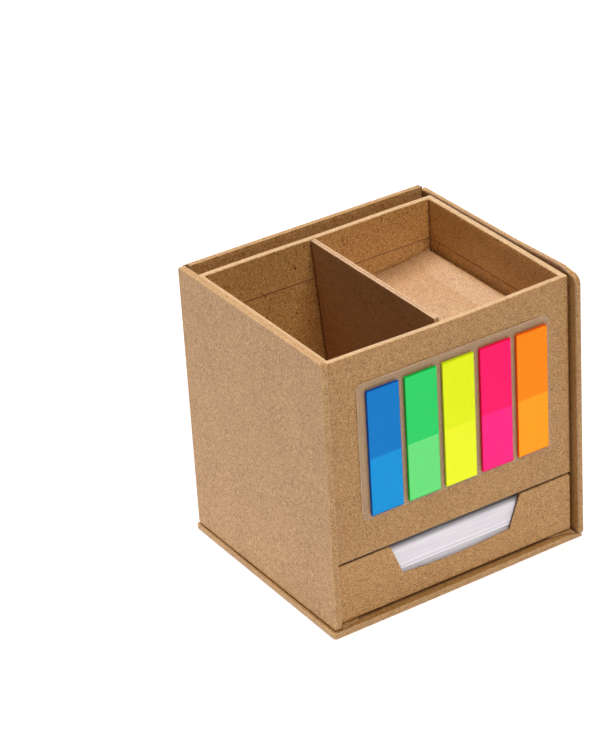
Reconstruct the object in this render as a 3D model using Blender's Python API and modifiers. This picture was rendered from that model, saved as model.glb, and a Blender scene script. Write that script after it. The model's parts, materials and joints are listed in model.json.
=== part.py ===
"""Memo cube pencil holder.

A desk cube of greyboard wrapped in kraft paper. Three tall panels stand on a base board
that shows as a small lip all round. A divided pencil box hangs between the panels, just
below their tops, and a drawer of memo sheets slides out to the front below it. Five pads
of page flags sit on a clear card on the pencil box's front.

Frame: metres, +Z up, +X to the right and +Y to the back as seen from the front. The
origin is the middle of the base board's underside, on the desk.
"""
import math

import bmesh
import bpy

# Casing: a base board and three tall panels joined at the back corners by paper hinges
CASE_WIDTH = 0.0957
CASE_DEPTH = 0.0796
CASE_TOP = 0.0975
RIGHT_DROP = 0.0009
LEFT_BOARD = 0.0024
RIGHT_BOARD = 0.0021
BACK_BOARD = 0.0018
LEFT_OVERHANG = 0.0019
RIGHT_OVERHANG = 0.0026
PANEL_CORNER = 0.0011
HINGE_GAP = 0.0008
HINGE_PAPER_WIDTH = 0.0008
HINGE_PAPER_DROP = 0.0010

BASE_BOARD = 0.0023
BASE_LIP_LEFT = 0.0011
BASE_LIP_RIGHT = 0.0009
BASE_LIP_FRONT = 0.0026
BASE_LIP_BACK = 0.0009
BASE_CORNER = 0.0016

# Thin papers glued over the turned-in edges of the wrap
LINING_PAPER = 0.0002
LINING_MARGIN = 0.0012

# Pencil box: four walls and a bottom, glued to the left panel
BOX_BOARD = 0.0021
BOX_STEP = 0.0015
BOX_RIGHT_GAP = 0.0007
BOX_BACK_GAP = 0.0042
SEAM_GAP = 0.0005

# Loose folded chipboard in the pencil box: a leaning divider and a shallow tray
INSERT_BOARD = 0.0009
INSERT_LEAN = math.radians(4.5)
INSERT_END_GAP = 0.0006
INSERT_DROP = 0.0003
DEEP_WIDTH = 0.0394
TRAY_DEPTH = 0.0220

# Drawer: a tray as wide as the pencil box, with a finger notch in its front
DRAWER_HEIGHT = 0.0212
DRAWER_BOARD = 0.0021
DRAWER_FRONT_BOARD = 0.0008
DRAWER_SIDE_GAP = 0.0005
DRAWER_BACK_GAP = 0.0007
NOTCH_TOP_WIDTH = 0.0500
NOTCH_BOTTOM_WIDTH = 0.0412
NOTCH_DEPTH = 0.0115

# Memo sheets, in two blocks one on the other
MEMO_MARGIN = 0.0009
MEMO_TOP_ROOM = 0.0011
MEMO_LOWER_HEIGHT = 0.0077

# Page flags on their clear card, placed by the margins that they leave
CARD_SHEET = 0.0002
CARD_MARGIN_LEFT = 0.0103
CARD_MARGIN_RIGHT = 0.0078
CARD_MARGIN_TOP = 0.0110
CARD_MARGIN_BOTTOM = 0.0123
CARD_CORNER = 0.0022
FLAG_THICKNESS = 0.0008
FLAG_MARGIN_LEFT = 0.0029
FLAG_MARGIN_RIGHT = 0.0013
FLAG_MARGIN_TOP = 0.0027
FLAG_MARGIN_BOTTOM = 0.0012
FLAG_SPACING = 0.0021

# Radii of the paper round the boards' edges, and the gaps between glued pieces
CASE_EDGE = 0.0006
BOX_EDGE = 0.0005
INSERT_EDGE = 0.0003
DRAWER_FRONT_EDGE = 0.0002
MEMO_EDGE = 0.0002
JOINT_GAP = 0.0003
CARD_GAP = 0.0002
WELD_DISTANCE = 0.00001

EDGE_STEPS = 2
CORNER_STEPS = 3
SHARP_ANGLE = math.radians(40)

# Places across the cube, in X
case_left = -(CASE_WIDTH + BASE_LIP_RIGHT - BASE_LIP_LEFT) / 2
case_right = case_left + CASE_WIDTH
inner_left = case_left + LEFT_BOARD
inner_right = case_right - RIGHT_BOARD
box_left = inner_left + JOINT_GAP
box_right = inner_right - BOX_RIGHT_GAP
drawer_left = inner_left + DRAWER_SIDE_GAP
drawer_right = box_right
drawer_middle = (drawer_left + drawer_right) / 2

# Places from front to back, in Y
front = -(CASE_DEPTH + BASE_LIP_BACK - BASE_LIP_FRONT) / 2
case_back = front + CASE_DEPTH
inner_back = case_back - BACK_BOARD
box_back = inner_back - BOX_BACK_GAP
lining_front = inner_back - JOINT_GAP - LINING_PAPER
drawer_back = lining_front - DRAWER_BACK_GAP

# Places above the desk, in Z
panel_foot = BASE_BOARD + JOINT_GAP
right_top = CASE_TOP - RIGHT_DROP
drawer_foot = panel_foot + LINING_PAPER + JOINT_GAP
drawer_top = drawer_foot + DRAWER_HEIGHT
drawer_floor = drawer_foot + DRAWER_BOARD
box_foot = drawer_top + SEAM_GAP
box_floor = box_foot + BOX_BOARD
box_top = CASE_TOP - BOX_STEP

FINISHES = {
    "kraft_wrap": ((0.72, 0.56, 0.40), 0.80, 1.0),
    "kraft_lining": ((0.66, 0.50, 0.35), 0.85, 1.0),
    "chipboard": ((0.80, 0.63, 0.47), 0.90, 1.0),
    "memo_paper": ((0.94, 0.94, 0.96), 0.75, 1.0),
    "clear_card": ((0.88, 0.80, 0.70), 0.12, 0.35),
    "flag_blue": ((0.14, 0.53, 0.83), 0.35, 1.0),
    "flag_green": ((0.36, 0.86, 0.48), 0.35, 1.0),
    "flag_yellow": ((0.93, 0.97, 0.22), 0.35, 1.0),
    "flag_pink": ((1.00, 0.19, 0.46), 0.35, 1.0),
    "flag_orange": ((1.00, 0.58, 0.16), 0.35, 1.0),
}
FLAG_COLOURS = ("blue", "green", "yellow", "pink", "orange")


def linear(channel):
    """Turn one display colour channel into the linear light that a shader takes."""
    if channel <= 0.04045:
        return channel / 12.92
    return ((channel + 0.055) / 1.055) ** 2.4


def finish(name):
    """Return the named finish as a material, made on its first use."""
    if name in bpy.data.materials:
        return bpy.data.materials[name]
    colour, roughness, alpha = FINISHES[name]
    material = bpy.data.materials.new(name)
    material.use_nodes = True
    shader = material.node_tree.nodes["Principled BSDF"]
    shader.inputs["Base Color"].default_value = (*map(linear, colour), 1.0)
    shader.inputs["Roughness"].default_value = roughness
    shader.inputs["Metallic"].default_value = 0.0
    shader.inputs["Alpha"].default_value = alpha
    material.diffuse_color = (*map(linear, colour), alpha)
    return material


def round_edges(piece, radius):
    """Round every sharp edge of a piece by a small radius."""
    bevel = piece.modifiers.new("rounded_edges", "BEVEL")
    bevel.width = radius
    bevel.segments = EDGE_STEPS
    bevel.limit_method = "ANGLE"
    bevel.angle_limit = SHARP_ANGLE


def board(name, low, high, finish_name, edge=0.0, corner=0.0):
    """Add a flat board between two opposite corners.

    The four edges that run through its thickness are rounded by corner, and then all
    the sharp edges that are left by edge.
    """
    size = [top - bottom for bottom, top in zip(low, high)]
    mesh = bpy.data.meshes.new(name)
    shape = bmesh.new()
    bmesh.ops.create_cube(shape, size=1.0)
    bmesh.ops.scale(shape, vec=size, verts=shape.verts)
    if corner > 0.0:
        through = size.index(min(size))
        rim = []
        for line in shape.edges:
            run = line.verts[1].co - line.verts[0].co
            if abs(run[through]) > size[through] / 2:
                rim.append(line)
        bmesh.ops.bevel(shape, geom=rim, offset=corner, segments=CORNER_STEPS,
                        profile=0.5, affect="EDGES")
    shape.to_mesh(mesh)
    shape.free()
    piece = bpy.data.objects.new(name, mesh)
    piece.location = [(bottom + top) / 2 for bottom, top in zip(low, high)]
    piece.data.materials.append(finish(finish_name))
    parts.objects.link(piece)
    if edge > 0.0:
        round_edges(piece, edge)
    return piece


def profile_board(name, outline, y_low, y_high, finish_name, edge):
    """Extrude an outline of X and Z points from y_low to y_high."""
    curve = bpy.data.curves.new(name, "CURVE")
    curve.dimensions = "2D"
    curve.fill_mode = "BOTH"
    curve.extrude = (y_high - y_low) / 2
    spline = curve.splines.new("POLY")
    spline.points.add(len(outline) - 1)
    spline.use_cyclic_u = True
    for point, (x, z) in zip(spline.points, outline):
        point.co = (x, z, 0.0, 1.0)
    drawing = bpy.data.objects.new(name + "_outline", curve)
    parts.objects.link(drawing)
    drawing.rotation_euler = (math.radians(90), 0.0, 0.0)
    drawing.location = (0.0, (y_low + y_high) / 2, 0.0)
    bpy.context.view_layer.update()

    seen = drawing.evaluated_get(bpy.context.evaluated_depsgraph_get())
    mesh = bpy.data.meshes.new_from_object(seen)
    shape = bmesh.new()
    shape.from_mesh(mesh)
    bmesh.ops.remove_doubles(shape, verts=shape.verts, dist=WELD_DISTANCE)
    bmesh.ops.recalc_face_normals(shape, faces=shape.faces)
    shape.to_mesh(mesh)
    shape.free()
    piece = bpy.data.objects.new(name, mesh)
    piece.matrix_world = drawing.matrix_world
    parts.objects.link(piece)
    bpy.data.objects.remove(drawing)
    piece.data.materials.clear()
    piece.data.materials.append(finish(finish_name))
    round_edges(piece, edge)
    return piece


def make_casing():
    """Base board, three panels, their two paper hinges and the lining papers."""
    board("base_board",
          (case_left - BASE_LIP_LEFT, front - BASE_LIP_FRONT, 0.0),
          (case_right + BASE_LIP_RIGHT, case_back + BASE_LIP_BACK, BASE_BOARD),
          "kraft_wrap", CASE_EDGE, BASE_CORNER)
    board("left_panel",
          (case_left, front - LEFT_OVERHANG, panel_foot),
          (inner_left, case_back, CASE_TOP),
          "kraft_wrap", CASE_EDGE, PANEL_CORNER)
    board("right_panel",
          (inner_right, front - RIGHT_OVERHANG, panel_foot),
          (case_right, case_back, right_top),
          "kraft_wrap", CASE_EDGE, PANEL_CORNER)
    board("back_panel",
          (inner_left + HINGE_GAP, inner_back, panel_foot),
          (inner_right - HINGE_GAP, case_back, CASE_TOP),
          "kraft_wrap", CASE_EDGE, PANEL_CORNER)

    hinge_back = case_back - CASE_EDGE
    hinge_front = hinge_back - HINGE_PAPER_WIDTH
    for side, middle, top in (("left", inner_left + HINGE_GAP / 2, CASE_TOP),
                              ("right", inner_right - HINGE_GAP / 2, right_top)):
        board(side + "_hinge_paper",
              (middle - LINING_PAPER / 2, hinge_front, panel_foot),
              (middle + LINING_PAPER / 2, hinge_back, top - HINGE_PAPER_DROP),
              "kraft_lining")

    board("base_lining",
          (inner_left + LINING_MARGIN, front, panel_foot),
          (inner_right - LINING_MARGIN, lining_front - LINING_MARGIN,
           panel_foot + LINING_PAPER),
          "kraft_lining")
    board("back_lining",
          (inner_left + LINING_MARGIN, lining_front, panel_foot + LINING_MARGIN),
          (inner_right - LINING_MARGIN, lining_front + LINING_PAPER,
           CASE_TOP - LINING_MARGIN),
          "kraft_lining")


def make_open_box(prefix, low, high, wall, front_wall, floor_top, floor_name, side_top):
    """Back wall, two side walls and a floor of an open box, glued at the corners."""
    side_front = low[1] + front_wall + JOINT_GAP
    side_back = high[1] - wall - JOINT_GAP
    pieces = [
        board(prefix + "_back_wall",
              (low[0], high[1] - wall, low[2]), (high[0], high[1], side_top),
              "kraft_wrap", BOX_EDGE),
        board(prefix + "_left_wall",
              (low[0], side_front, low[2]), (low[0] + wall, side_back, side_top),
              "kraft_wrap", BOX_EDGE),
        board(prefix + "_right_wall",
              (high[0] - wall, side_front, low[2]), (high[0], side_back, side_top),
              "kraft_wrap", BOX_EDGE),
        board(floor_name,
              (low[0] + wall + JOINT_GAP, side_front, low[2]),
              (high[0] - wall - JOINT_GAP, side_back, floor_top),
              "kraft_lining", BOX_EDGE),
    ]
    return pieces


def make_pencil_box():
    """Four walls and a bottom that hang between the panels."""
    make_open_box("box", (box_left, front, box_foot), (box_right, box_back, box_top),
                  BOX_BOARD, BOX_BOARD, box_floor, "box_bottom", box_top)
    board("box_front_wall",
          (box_left, front, box_foot), (box_right, front + BOX_BOARD, box_top),
          "kraft_wrap", BOX_EDGE)


def make_insert():
    """Divider and shallow tray of folded chipboard, which lean together.

    Both are drawn from the divider's top left edge: across runs along the tray's floor
    and down along the divider, at a right angle to each other.
    """
    across = (math.cos(INSERT_LEAN), math.sin(INSERT_LEAN))
    down = (math.sin(INSERT_LEAN), -math.cos(INSERT_LEAN))
    start = (box_left + BOX_BOARD + DEEP_WIDTH, box_top - INSERT_DROP)
    foot = box_floor + JOINT_GAP
    stop = box_right - BOX_BOARD - JOINT_GAP
    y_low = front + BOX_BOARD + INSERT_END_GAP
    y_high = box_back - BOX_BOARD - INSERT_END_GAP

    def place(along, below):
        """The point that lies along across and below down from the start."""
        x = start[0] + along * across[0] + below * down[0]
        z = start[1] + along * across[1] + below * down[1]
        return x, z

    def reach(along, below, x):
        """The point at x on the line across that starts at along and below."""
        begin = place(along, below)
        run = (x - begin[0]) / across[0]
        return place(along + run, below)

    height = (start[1] - foot) / math.cos(INSERT_LEAN)
    divider = [place(0.0, 0.0), place(INSERT_BOARD, 0.0),
               place(INSERT_BOARD, height), place(0.0, height)]
    profile_board("divider", divider, y_low, y_high, "chipboard", INSERT_EDGE)

    near = INSERT_BOARD + JOINT_GAP
    far = near + INSERT_BOARD
    under = TRAY_DEPTH + INSERT_BOARD
    tray = [place(near, 0.0), place(far, 0.0), place(far, TRAY_DEPTH),
            reach(far, TRAY_DEPTH, stop), (stop, foot), (stop - INSERT_BOARD, foot),
            reach(near, under, stop - INSERT_BOARD), place(near, under)]
    profile_board("shallow_tray", tray, y_low, y_high, "chipboard", INSERT_EDGE)


def make_drawer(runner):
    """Front with its finger notch, three walls, a bottom and the memo sheets in it."""
    pieces = make_open_box("drawer", (drawer_left, front, drawer_foot),
                           (drawer_right, drawer_back, drawer_top), DRAWER_BOARD,
                           DRAWER_FRONT_BOARD, drawer_floor, "drawer_bottom", drawer_top)
    notch_floor = drawer_top - NOTCH_DEPTH
    outline = [(drawer_left, drawer_foot), (drawer_right, drawer_foot),
               (drawer_right, drawer_top),
               (drawer_middle + NOTCH_TOP_WIDTH / 2, drawer_top),
               (drawer_middle + NOTCH_BOTTOM_WIDTH / 2, notch_floor),
               (drawer_middle - NOTCH_BOTTOM_WIDTH / 2, notch_floor),
               (drawer_middle - NOTCH_TOP_WIDTH / 2, drawer_top),
               (drawer_left, drawer_top)]
    front_back = front + DRAWER_FRONT_BOARD
    pieces.append(profile_board("drawer_front", outline, front, front_back, "kraft_wrap",
                                DRAWER_FRONT_EDGE))

    margin = DRAWER_BOARD + MEMO_MARGIN
    memo_foot = drawer_floor + JOINT_GAP
    memo_split = memo_foot + MEMO_LOWER_HEIGHT
    for name, bottom, top in (
            ("memo_sheets_lower", memo_foot, memo_split),
            ("memo_sheets_upper", memo_split + JOINT_GAP, drawer_top - MEMO_TOP_ROOM)):
        pieces.append(board(name,
                            (drawer_left + margin, front_back + JOINT_GAP, bottom),
                            (drawer_right - margin, drawer_back - margin, top),
                            "memo_paper", MEMO_EDGE))
    for piece in pieces:
        piece.parent = runner
        piece.location = [a - b for a, b in zip(piece.location, runner.location)]


def make_flags():
    """Five pads of page flags in a row on a clear card with round corners."""
    card_back = front - CARD_GAP
    card_front = card_back - CARD_SHEET
    card_left = box_left + CARD_MARGIN_LEFT
    card_right = box_right - CARD_MARGIN_RIGHT
    card_foot = box_foot + CARD_MARGIN_BOTTOM
    card_top = box_top - CARD_MARGIN_TOP
    board("flag_card", (card_left, card_front, card_foot),
          (card_right, card_back, card_top), "clear_card", corner=CARD_CORNER)

    row_left = card_left + FLAG_MARGIN_LEFT
    row_right = card_right - FLAG_MARGIN_RIGHT
    count = len(FLAG_COLOURS)
    pitch = (row_right - row_left + FLAG_SPACING) / count
    pad_back = card_front - CARD_GAP
    for index, colour in enumerate(FLAG_COLOURS):
        pad_left = row_left + index * pitch
        board("flag_pad_" + colour,
              (pad_left, pad_back - FLAG_THICKNESS, card_foot + FLAG_MARGIN_BOTTOM),
              (pad_left + pitch - FLAG_SPACING, pad_back, card_top - FLAG_MARGIN_TOP),
              "flag_" + colour, edge=MEMO_EDGE / 2)


for old in list(bpy.data.objects):
    bpy.data.objects.remove(old)
parts = bpy.data.collections.new("memo_cube_pencil_holder")
bpy.context.scene.collection.children.link(parts)

# The drawer's pieces hang on an empty at the middle of its front, where it is pulled
drawer_runner = bpy.data.objects.new("drawer_runner", None)
drawer_runner.location = (drawer_middle, front, (drawer_foot + drawer_top) / 2)
parts.objects.link(drawer_runner)

make_casing()
make_pencil_box()
make_insert()
make_drawer(drawer_runner)
make_flags()
bpy.context.view_layer.update()

# The sizes that the record repeats, printed for whoever writes it
deep_right = box_left + BOX_BOARD + DEEP_WIDTH
print(f"front plane y {front:.5f}, case x {case_left:.5f} to {case_right:.5f}")
print(f"box inside x {box_left + BOX_BOARD:.5f} to {box_right - BOX_BOARD:.5f}, "
      f"y {front + BOX_BOARD:.5f} to {box_back - BOX_BOARD:.5f}, "
      f"z {box_floor:.5f} to {box_top:.5f}, divider top x {deep_right:.5f}")
print(f"drawer x {drawer_left:.5f} to {drawer_right:.5f}, "
      f"y {front:.5f} to {drawer_back:.5f}, z {drawer_foot:.5f} to {drawer_top:.5f}")
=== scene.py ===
# %% [markdown]
# # Memo cube pencil holder
#
# The object is a desk cube of greyboard wrapped in kraft paper. Three tall panels stand on a
# base board, a divided pencil box hangs between them, and a drawer of memo sheets slides
# out below it. Five pads of page flags sit on a clear card on its front.
#
# The frame that is loaded here has every board at its real place, as a plain solid. This
# lesson dresses it: each board gets its wrapped edges, each stack its leaves, and each
# surface its paper. All the shapes are grids of points worked out as whole arrays.

# %% Load the frame
import json
import math

import bmesh
import bpy
import numpy as np
from mathutils import Matrix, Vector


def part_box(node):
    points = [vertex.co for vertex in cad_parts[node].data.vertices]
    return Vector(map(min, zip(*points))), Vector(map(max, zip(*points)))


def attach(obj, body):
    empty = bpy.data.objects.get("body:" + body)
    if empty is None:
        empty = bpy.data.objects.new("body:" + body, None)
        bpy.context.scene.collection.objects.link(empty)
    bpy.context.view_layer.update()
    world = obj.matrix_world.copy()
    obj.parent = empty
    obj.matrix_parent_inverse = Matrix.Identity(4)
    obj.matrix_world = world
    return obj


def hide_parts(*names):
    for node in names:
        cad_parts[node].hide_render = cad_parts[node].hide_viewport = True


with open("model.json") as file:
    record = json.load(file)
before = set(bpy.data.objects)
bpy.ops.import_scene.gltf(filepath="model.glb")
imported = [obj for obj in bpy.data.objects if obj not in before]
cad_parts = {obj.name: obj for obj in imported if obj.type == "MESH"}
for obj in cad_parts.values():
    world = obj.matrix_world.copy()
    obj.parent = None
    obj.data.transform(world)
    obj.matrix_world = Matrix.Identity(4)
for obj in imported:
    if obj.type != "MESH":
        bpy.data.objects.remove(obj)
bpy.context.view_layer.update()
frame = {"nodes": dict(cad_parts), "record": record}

# %% [markdown]
# ## Camera
#
# A long lens from the upper left keeps the cube's uprights nearly parallel. The camera
# could be aimed with a constraint, but three angles, a point to look at and a distance say
# more plainly where it stands. Azimuth turns it round the cube, elevation lifts it, and
# roll tips the picture a little.

# %% Camera
CAMERA_AZIMUTH = math.radians(-31.61)
CAMERA_ELEVATION = math.radians(29.06)
CAMERA_ROLL = math.radians(-3.56)
CAMERA_AIM = np.array([-0.05419, -0.04407, 0.10028])
CAMERA_DISTANCE = 0.87068
CAMERA_LENS = 145.94
CAMERA_SENSOR = 36.0


def camera_axes(azimuth, elevation, roll):
    """The camera's right, up and back directions.

    Back points from the aim to the camera. Right is level, at a right angle to back, and
    up closes the set. Roll then turns right and up round back.
    """
    back = np.array([math.sin(azimuth) * math.cos(elevation),
                     -math.cos(azimuth) * math.cos(elevation),
                     math.sin(elevation)])
    level = np.cross([0.0, 0.0, 1.0], back)
    level /= np.linalg.norm(level)
    upright = np.cross(back, level)
    right = math.cos(roll) * level + math.sin(roll) * upright
    up = math.cos(roll) * upright - math.sin(roll) * level
    return right, up, back


right, up, back = camera_axes(CAMERA_AZIMUTH, CAMERA_ELEVATION, CAMERA_ROLL)
lens = bpy.data.cameras.new("camera")
lens.lens = CAMERA_LENS
lens.sensor_width = CAMERA_SENSOR
camera = bpy.data.objects.new("camera", lens)
turn = Matrix(np.stack([right, up, back], axis=1).tolist())
camera.matrix_world = Matrix.Translation(CAMERA_AIM + back * CAMERA_DISTANCE) @ turn.to_4x4()
bpy.context.scene.collection.objects.link(camera)
bpy.context.scene.camera = camera
bpy.context.scene.view_settings.view_transform = "Standard"
print("camera stands at", [round(float(x), 3) for x in camera.matrix_world.translation])

# %% [markdown]
# ## Shader maths as plain expressions
#
# Kraft paper is mostly arithmetic on noise: a little of one, a mask made of another. Math
# nodes wired one by one hide that. Here a small class wraps a node's output, so that
# `1 - mask` or `0.2 * grain + cloud` adds the nodes by itself, and one method adds any
# other node. Colours go through Mix and Vector Math, which keep their hue.

# %% Sockets that do arithmetic
class Signal:
    """One output of a shader node; arithmetic on it adds Math nodes."""

    def __init__(self, nodes, socket):
        self.nodes = nodes
        self.socket = socket

    def math(self, operation, first, second):
        return self.nodes.node("ShaderNodeMath", {"operation": operation},
                               {0: first, 1: second})

    def __add__(self, other):
        return self.math("ADD", self, other)

    __radd__ = __add__

    def __sub__(self, other):
        return self.math("SUBTRACT", self, other)

    def __rsub__(self, other):
        return self.math("SUBTRACT", other, self)

    def __mul__(self, other):
        return self.math("MULTIPLY", self, other)

    __rmul__ = __mul__

    def __abs__(self):
        return self.math("ABSOLUTE", self, 0.0)


# %% Node trees and materials
SHADER = "Principled BSDF"


class Nodes:
    """A node tree, and the one way in which nodes are added to it."""

    def __init__(self, tree):
        self.tree = tree

    def node(self, kind, settings, inputs, output=0):
        """Add a node: its settings first, then a value or a link for each named socket."""
        made = self.tree.nodes.new(kind)
        for setting, value in settings.items():
            setattr(made, setting, value)
        for socket, value in inputs.items():
            if isinstance(value, Signal):
                self.tree.links.new(value.socket, made.inputs[socket])
            else:
                made.inputs[socket].default_value = value
        return Signal(self, made.outputs[output])

    def mix(self, share, first, second):
        """A colour between the first and the second."""
        return self.node("ShaderNodeMix", {"data_type": "RGBA"},
                         {0: share, 6: first, 7: second}, 2)

    def lead(self, signal, node_name, socket):
        """Lead a signal to a node that the tree has from the start."""
        self.tree.links.new(signal.socket, self.tree.nodes[node_name].inputs[socket])


class Paint(Nodes):
    """A new material: its main shader, and the nodes that feed it."""

    def __init__(self, name, **fixed):
        self.material = bpy.data.materials.new(name)
        self.material.use_nodes = True
        super().__init__(self.material.node_tree)
        for socket, value in fixed.items():
            self.tree.nodes[SHADER].inputs[socket.replace("_", " ")].default_value = value
        self.place = self.node("ShaderNodeTexCoord", {}, {}, "Object")

    def noise(self, scale, detail=2.0, where=None):
        """Noise from 0 to 1 with so many features in a metre."""
        inputs = {"Vector": where or self.place, "Scale": scale, "Detail": detail}
        return self.node("ShaderNodeTexNoise", {}, inputs)

    def ramp(self, signal, low, high):
        """0 below low, 1 above high and a smooth rise between them."""
        return self.node("ShaderNodeMapRange", {"interpolation_type": "SMOOTHSTEP"},
                         {"Value": signal, "From Min": low, "From Max": high})

    def shade(self, colour, level):
        """A colour made brighter or darker by a number."""
        return self.node("ShaderNodeVectorMath", {"operation": "SCALE"},
                         {0: colour, "Scale": level})

    def mark(self, name):
        """A number that the mesh carries at each of its points."""
        return self.node("ShaderNodeAttribute", {"attribute_name": name}, {}, "Fac")

    def feed(self, socket, signal):
        """Lead a signal to a socket of the main shader."""
        self.lead(signal, SHADER, socket)

    def relief(self, height, depth):
        """Bump of so many metres between a height of 0 and one of 1."""
        self.feed("Normal", self.node("ShaderNodeBump", {}, {
            "Height": height, "Distance": depth, "Strength": 1.0}, "Normal"))


# %% Colours
def colour(red, green, blue):
    """A display colour from 0 to 255 as the linear light that a shader takes.

    A channel v from 0 to 1 becomes (v + 0.055) / 1.055 to the power 2.4, and in the
    deepest tones v / 12.92, as the standard for displays says.
    """
    channels = np.array([red, green, blue]) / 255
    curved = ((channels + 0.055) / 1.055) ** 2.4
    linear = np.where(channels <= 0.04045, channels / 12.92, curved)
    return (*linear.tolist(), 1.0)


print("a middle grey of 128 is", round(colour(128, 128, 128)[0], 3), "of the light")

# %% [markdown]
# ## Studio
#
# Small things are photographed on a white table with a few soft lamps: here one high
# behind the cube, one high in front and one low on each side. The table sends light back
# up to the outer faces but not into the box, whose inner faces are so deep for that
# reason. Round the cube it has a painted pool of light: it glows a little there, as a
# table under many lamps looks. The picture must be white behind the cube without more
# light on the cube, so the table and the world are white only in what the camera and the
# reflections see. The table keeps some plain diffuse there, for the cube's shadow.

# %% World
ROOM_LIGHT = 0.03


def grey(level):
    """A grey without hue, as a colour."""
    return (level, level, level, 1.0)


def seen(nodes):
    """1 for camera, glossy and transmission rays, and 0 for all others."""
    total = 0.0
    for ray in ("Is Camera Ray", "Is Glossy Ray", "Is Transmission Ray"):
        path = nodes.node("ShaderNodeLightPath", {}, {}, ray)
        total = path.math("MAXIMUM", total, path)
    return total


world = bpy.data.worlds.new("studio")
world.use_nodes = True
room = Nodes(world.node_tree)
room.lead(room.mix(seen(room), grey(ROOM_LIGHT), grey(1.0)), "Background", "Color")
bpy.context.scene.world = world
print("the room's own light:", ROOM_LIGHT)

# %% Table
TABLE_SIZE = 6.0
TABLE_GREY = 0.80
TABLE_POOL = 0.50
TABLE_FADE = (0.06, 0.22)
TABLE_GLOW = 0.80
TABLE_SHADOW = 0.35


def glowing(nodes, level, strength):
    """A plain grey surface that gives off light as well."""
    plain = nodes.node("ShaderNodeBsdfDiffuse", {}, {"Color": grey(level)})
    glow = nodes.node("ShaderNodeEmission", {}, {"Strength": strength})
    return nodes.node("ShaderNodeAddShader", {}, {0: plain, 1: glow})


def make_table_top():
    """Grey with a painted pool of light glowing round the cube, and nearly white where it is
    seen.
    """
    material = bpy.data.materials.new("table_top")
    material.use_nodes = True
    top = Nodes(material.node_tree)
    top.tree.nodes.remove(top.tree.nodes[SHADER])
    place = top.node("ShaderNodeTexCoord", {}, {}, "Object")
    reach = top.node("ShaderNodeVectorMath", {"operation": "LENGTH"}, {0: place}, "Value")
    pool = top.node("ShaderNodeMapRange", {}, {
        "Value": reach, "From Min": TABLE_FADE[0], "From Max": TABLE_FADE[1],
        "To Min": TABLE_POOL, "To Max": 0.0})
    choice = top.node("ShaderNodeMixShader", {}, {
        0: seen(top), 1: glowing(top, TABLE_GREY, pool),
        2: glowing(top, TABLE_SHADOW, TABLE_GLOW)})
    top.lead(choice, "Material Output", "Surface")
    return material


table_corners = np.array([(-1, -1, 0), (1, -1, 0), (1, 1, 0), (-1, 1, 0)]) * TABLE_SIZE / 2
table_mesh = bpy.data.meshes.new("table")
table_mesh.from_pydata(table_corners.tolist(), [], [(0, 1, 2, 3)])
table = bpy.data.objects.new("table", table_mesh)
bpy.context.scene.collection.objects.link(table)
table_mesh.materials.append(make_table_top())
print("the table is", TABLE_SIZE, "m wide")

# %% Lamps
LAMP_AIM = np.array([0.0, 0.0, 0.05])
LAMPS = {
    "lamp_back": {"at": (0.0, 0.48, 1.37), "size": (0.7, 0.7), "watts": 18.7},
    "lamp_front": {"at": (0.0, -0.86, 1.15), "size": (0.6, 0.6), "watts": 12.0},
    "lamp_left": {"at": (-1.31, 0.48, 0.11), "size": (0.6, 0.15), "watts": 6.6},
    "lamp_right": {"at": (1.31, 0.48, 0.20), "size": (0.6, 0.3), "watts": 3.0},
}


def make_lamp(name, at, size, watts):
    """A rectangular softbox that faces the middle of the cube."""
    light = bpy.data.lights.new(name, "AREA")
    light.shape = "RECTANGLE"
    light.size, light.size_y = size
    light.energy = watts
    lamp = bpy.data.objects.new(name, light)
    away = np.array(at) - LAMP_AIM
    lamp_azimuth = math.atan2(away[0], -away[1])
    lamp_elevation = math.atan2(away[2], math.hypot(away[0], away[1]))
    axes = np.stack(camera_axes(lamp_azimuth, lamp_elevation, 0.0), axis=1)
    lamp.matrix_world = Matrix.Translation(at) @ Matrix(axes.tolist()).to_4x4()
    bpy.context.scene.collection.objects.link(lamp)


for lamp_name, lamp_facts in LAMPS.items():
    make_lamp(lamp_name, **lamp_facts)
print("lamps:", ", ".join(LAMPS))

# %% [markdown]
# ## Kraft paper
#
# Kraft paper is brown pulp in which single fibres show: short dark hairs, a few dark
# specks, and a cloudy unevenness. An image could give that, but it would repeat and
# stretch. Noise read at the cube's own coordinates runs on from board to board at its
# real scale: clouds of 2 cm, flocks of 2 mm, blotches of just over half a millimetre and
# a grain of a third of one. The noise chooses between a paler and a darker pulp, because
# a plain scaling would leave the blue alone. A hair is where a noise crosses its middle
# value, cut short by a second noise. Along the rims the wrap is paler, partly because it
# is stretched and rubbed there and partly as a painted highlight. Painted shade darkens
# corners, slits and gaps that little light reaches, and painted light makes some faces
# lighter than the lamps leave them.

# %% Kraft paper
# Each noise of the pulp: its features in a metre, its detail and its share in the tone
PULP_NOISES = {
    "cloud": (60.0, 3.0, 0.25),
    "flock": (520.0, 2.0, 0.40),
    "blotch": (1600.0, 1.0, 1.0),
    "grain": (3000.0, 3.0, 2.6),
}
PULP_SPREAD = np.array([0.180, 0.132, 0.066, 0.0])
DARKEST_PULP = 0.002
OTHER_PART = (0.37, 0.11, 0.53)
HAIR_DARK = 0.45
SPECK_DARK = 0.80
RUB_AND_HIGHLIGHT_MOTTLE = 0.3
PAINTED_SHADE_DEPTH = 0.75
PAINTED_LIGHT_GAIN = 0.16
PAPER_ROUGHNESS = 0.37
FLOCK_ROUGHNESS = 0.08
BLOTCH_RELIEF = 0.5
FLOCK_RELIEF = 0.3


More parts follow.
